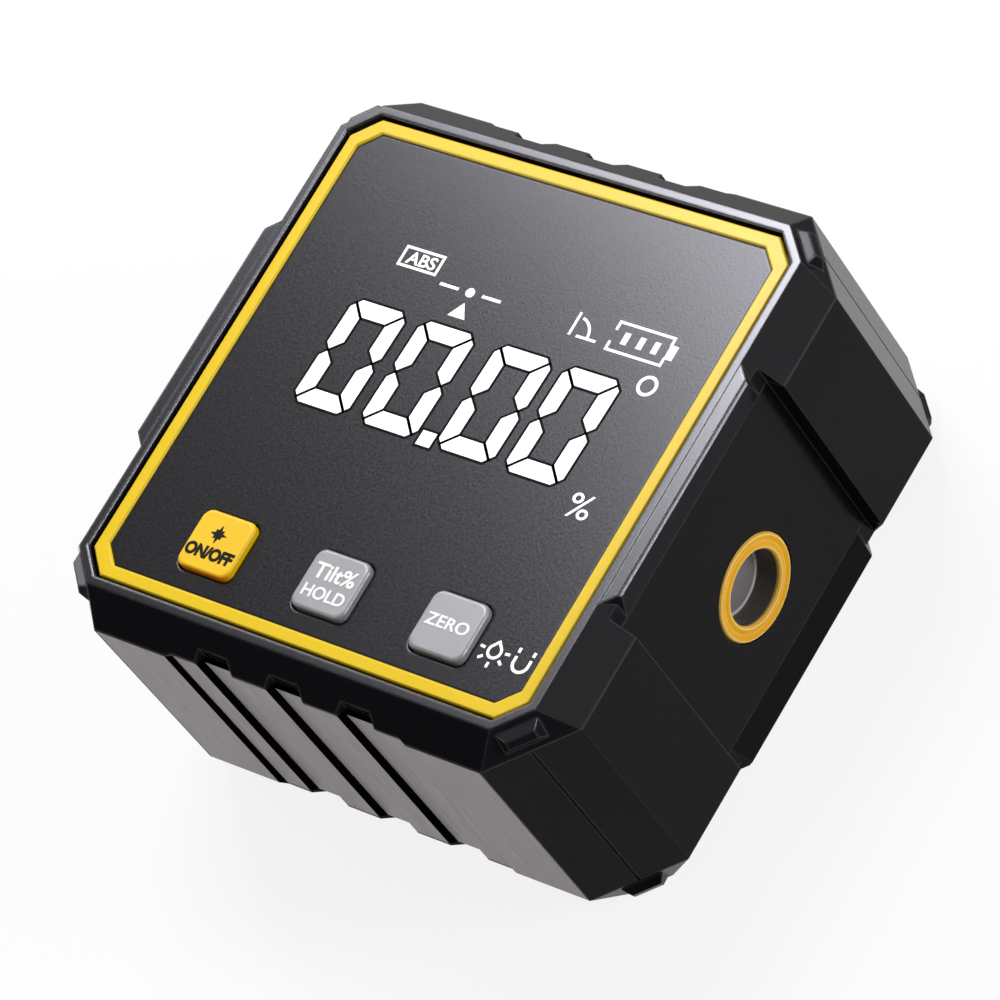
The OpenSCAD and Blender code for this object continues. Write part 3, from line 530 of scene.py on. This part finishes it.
chargeLook = {"left": 13.08, "right": 19.4, "low": 10.72, "high": 13.7, "line": 0.28, "stub": 0.9,
              "barStarts": [14.2, 15.98, 17.68], "barWidth": 0.64, "barLow": 11.58, "barHigh": 12.85,
              "tip": [[19.35, 11.45], [20.25, 11.45], [20.25, 12.98], [19.35, 12.98]]}
chargeSides = [[[chargeLook["left"], edge + way * chargeLook["stub"]], [chargeLook["left"], edge],
                [chargeLook["right"], edge], [chargeLook["right"], edge + way * chargeLook["stub"]]]
               for edge, way in ((chargeLook["low"], 1), (chargeLook["high"], -1))]
chargeBars = [[[x, chargeLook["barLow"]], [x + chargeLook["barWidth"], chargeLook["barLow"]],
               [x + chargeLook["barWidth"], chargeLook["barHigh"]], [x, chargeLook["barHigh"]]]
              for x in chargeLook["barStarts"]]
litMark("batteryMark", [markBand(side, chargeLook["line"]) for side in chargeSides]
        + [markPlate(bar) for bar in chargeBars + [chargeLook["tip"]]])

unitLook = {"degree": [19.38, 8.45], "degreeRadius": 0.92, "degreeTurn": [0, 350, 36], "line": 0.34,
            "percent": [18.6, -5.9, 21.1, -3.35]}
degreeRing = arcPath(unitLook["degree"], unitLook["degreeRadius"], *unitLook["degreeTurn"])
litMark("degreeMark", [markBand(degreeRing, unitLook["line"], True)])
litMark("percentMark", [letterPlate("%", unitLook["percent"], markLow, markHigh)])

lampLook = {"centre": [19.95, -20.27], "radius": 0.68, "bulbTurn": [130, 410, 30], "peak": 1.0,
            "line": 0.28, "rayAngles": [175, 218, 270, 322, 5], "rayStart": 1.15, "rayEnd": 1.7}
lampCentre = np.array(lampLook["centre"])
lampBulb = arcPath(lampCentre, lampLook["radius"], *lampLook["bulbTurn"])
lampDrop = np.vstack([lampBulb, [lampCentre + [0, lampLook["peak"]]]])
lampWays = [np.array([math.cos(a), math.sin(a)]) for a in np.radians(lampLook["rayAngles"])]
lampRays = [[lampCentre + way * lampLook["rayStart"], lampCentre + way * lampLook["rayEnd"]]
            for way in lampWays]
litMark("lampMark", [markBand(lampDrop, lampLook["line"], True)]
        + [markBand(ray, lampLook["line"]) for ray in lampRays])

magnetLook = {"centre": [23.16, -20.58], "arm": 0.84, "bowTurn": [180, 360], "rise": 0.6,
              "tipGap": 0.36, "tipLength": 0.5, "line": 0.3}
magnetX, magnetY = magnetLook["centre"]
magnetTop = magnetY + magnetLook["rise"]
magnetSides = [magnetX + side * magnetLook["arm"] for side in (-1, 1)]
magnetBow = arcPath([magnetX, magnetY], magnetLook["arm"], *magnetLook["bowTurn"])
magnetCurve = np.vstack([[[magnetSides[0], magnetTop]], magnetBow, [[magnetSides[1], magnetTop]]])
tipLow = magnetTop + magnetLook["tipGap"]
magnetTips = [[[x, tipLow], [x, tipLow + magnetLook["tipLength"]]] for x in magnetSides]
litMark("magnetMark", [markBand(path, magnetLook["line"]) for path in [magnetCurve] + magnetTips])
print("display marks made")


def keyPlace(node):  # middle of a key's top and its level, in mm
    lowest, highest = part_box(node)
    return (lowest.x + highest.x) / 2 / mm, (lowest.y + highest.y) / 2 / mm, highest.z / mm


legendLook = {"starRays": 8, "starLong": 1.0, "starShort": 0.68, "starInner": 0.46,
              "starPlace": [-0.25, 0.85],
              "powerWords": [-2.9, -1.85, 2.8, -0.5], "tiltWords": [-2.4, 0.05, 2.5, 1.75],
              "holdWords": [-2.45, -1.95, 2.5, -0.6], "zeroWords": [-2.6, -0.55, 2.4, 0.75],
              "powerBold": 0.05, "wordBold": 0.028}


def legendWords(words, key, corners, boldness):
    x, y, top = keyPlace(key)
    box = [x + corners[0], y + corners[1], x + corners[2], y + corners[3]]
    return letterPlate(words, box, top - filmLook["sink"], top + filmLook["legend"], boldness)


# a star of long and short rays in turn: even points are the tips of rays, odd ones lie between them
starX, starY, starTop = keyPlace("power_key")
starAngle = np.linspace(0, 2 * math.pi, 2 * legendLook["starRays"], endpoint=False) + math.pi / 2
starTurn = np.arange(len(starAngle))
starReach = np.where(starTurn % 2 == 1, legendLook["starInner"],
                     np.where(starTurn % 4 == 0, legendLook["starLong"], legendLook["starShort"]))
starOutline = np.c_[starX + legendLook["starPlace"][0] + starReach * np.cos(starAngle),
                    starY + legendLook["starPlace"][1] + starReach * np.sin(starAngle)]
powerStar = plateOf(starOutline, starTop - filmLook["sink"], starTop + filmLook["legend"])
powerWords = legendWords("ON/OFF", "power_key", legendLook["powerWords"], legendLook["powerBold"])
makePiece("powerLegend", [powerStar, powerWords], blackInk, "power_button")
tiltWords = legendWords("Tilt%", "hold_key", legendLook["tiltWords"], legendLook["wordBold"])
holdWords = legendWords("HOLD", "hold_key", legendLook["holdWords"], legendLook["wordBold"])
makePiece("holdLegend", [tiltWords, holdWords], whiteInk, "hold_button")
zeroWords = legendWords("ZERO", "zero_key", legendLook["zeroWords"], legendLook["wordBold"])
makePiece("zeroLegend", [zeroWords], whiteInk, "zero_button")
print("key legends made")

# pale matt floor that the object lies on; seen straight, in a gloss or through glass it is mostly white
floorLook = {"half": 2.0, "tone": "#f4f4f4", "white": "#ffffff", "whiteShare": 0.86}
floorCorners = [(x * floorLook["half"], y * floorLook["half"], 0)
                for x, y in ((-1, -1), (1, -1), (1, 1), (-1, 1))]
floorMesh = bpy.data.meshes.new("floor")
floorMesh.from_pydata(floorCorners, [], [(0, 1, 2, 3)])
floor = bpy.data.objects.new("floor", floorMesh)
bpy.context.scene.collection.objects.link(floor)
floorMaterial, ground = startMaterial("paleFloor")
matt = addNode(ground, "ShaderNodeBsdfDiffuse", values={"Color": hexColour(floorLook["tone"])})
white = addNode(ground, "ShaderNodeEmission",
                values={"Color": hexColour(floorLook["white"]), "Strength": 1.0})
rays = addNode(ground, "ShaderNodeLightPath").outputs
seen = mathOf(ground, "MAXIMUM", links={0: rays["Is Camera Ray"], 1: rays["Is Glossy Ray"]})
seen = mathOf(ground, "MAXIMUM", links={0: seen, 1: rays["Is Transmission Ray"]})
share = mathOf(ground, "MULTIPLY", {1: floorLook["whiteShare"]}, {0: seen})
mixed = addNode(ground, "ShaderNodeMixShader",
                links={0: share, 1: matt.outputs["BSDF"], 2: white.outputs["Emission"]})
addNode(ground, "ShaderNodeOutputMaterial", links={"Surface": mixed.outputs["Shader"]})
floorMesh.materials.append(floorMaterial)

# a soft box behind at the left, whose edge fades across the panel, three strips that draw the edges
# of the rim and of the corner pads, and a low box at the right for the dark side
lightLook = {"softBox": {"place": (-185, 245, 460), "aim": (0, 0, 25), "size": (215, 215), "power": 1.93},
             "edgeStrip": {"place": (-430, 330, 420), "aim": (0, 0, 25), "size": (110, 260), "power": 0.7},
             "lowStrip": {"place": (-470, 150, 225), "aim": (0, 0, 25), "size": (400, 170), "power": 0.7},
             "rimStrip": {"place": (-290, -380, 165), "aim": (0, 0, 25), "size": (140, 60), "power": 0.22},
             "sideBox": {"place": (440, 143, 190), "aim": (20, 0, 15), "size": (170, 170), "power": 1.35}}
for lampName, look in lightLook.items():
    lamp = bpy.data.lights.new(lampName, "AREA")
    lamp.shape = "RECTANGLE"
    lamp.size, lamp.size_y = look["size"][0] * mm, look["size"][1] * mm
    lamp.energy = look["power"]
    holder = bpy.data.objects.new(lampName, lamp)
    place, aim = Vector(look["place"]), Vector(look["aim"])
    holder.location = place * mm
    holder.rotation_euler = (aim - place).to_track_quat("-Z", "Y").to_euler()
    bpy.context.scene.collection.objects.link(holder)

# a white sky that brightens overhead
skyLook = {"tone": "#ffffff", "low": 0.05, "high": 0.25}
world = bpy.context.scene.world or bpy.data.worlds.new("studio")
bpy.context.scene.world = world
world.use_nodes = True
sky = world.node_tree
sky.nodes.clear()
heading = addNode(sky, "ShaderNodeTexCoord").outputs["Generated"]
glow = mapRange(sky, partOf(sky, heading, "Z"), (0.0, 1.0), (skyLook["low"], skyLook["high"]))
backing = addNode(sky, "ShaderNodeBackground", values={"Color": hexColour(skyLook["tone"])},
                  links={"Strength": glow})
addNode(sky, "ShaderNodeOutputWorld", links={"Surface": backing.outputs["Background"]})

# the photograph's view: a long lens from the lower right, rolled
cameraLook = {"place": (341.17, -167.24, 457.8), "forward": (-0.58545, 0.28565, -0.75872),
              "up": (-0.25891, 0.82098, 0.50887), "lens": 224.49, "sensor": 36, "nearest": 10}
forward = Vector(cameraLook["forward"]).normalized()
right = forward.cross(Vector(cameraLook["up"])).normalized()
upward = right.cross(forward)
camera = bpy.data.cameras.new("camera")
camera.lens = cameraLook["lens"]
camera.sensor_width = cameraLook["sensor"]
camera.clip_start = cameraLook["nearest"] * mm
cameraHolder = bpy.data.objects.new("camera", camera)
turn = Matrix((right, upward, -forward)).transposed().to_4x4()
cameraHolder.matrix_world = Matrix.Translation(Vector(cameraLook["place"]) * mm) @ turn
bpy.context.scene.collection.objects.link(cameraHolder)
bpy.context.scene.camera = cameraHolder
bpy.context.scene.view_settings.view_transform = "Standard"
print("stage, lights and camera set")
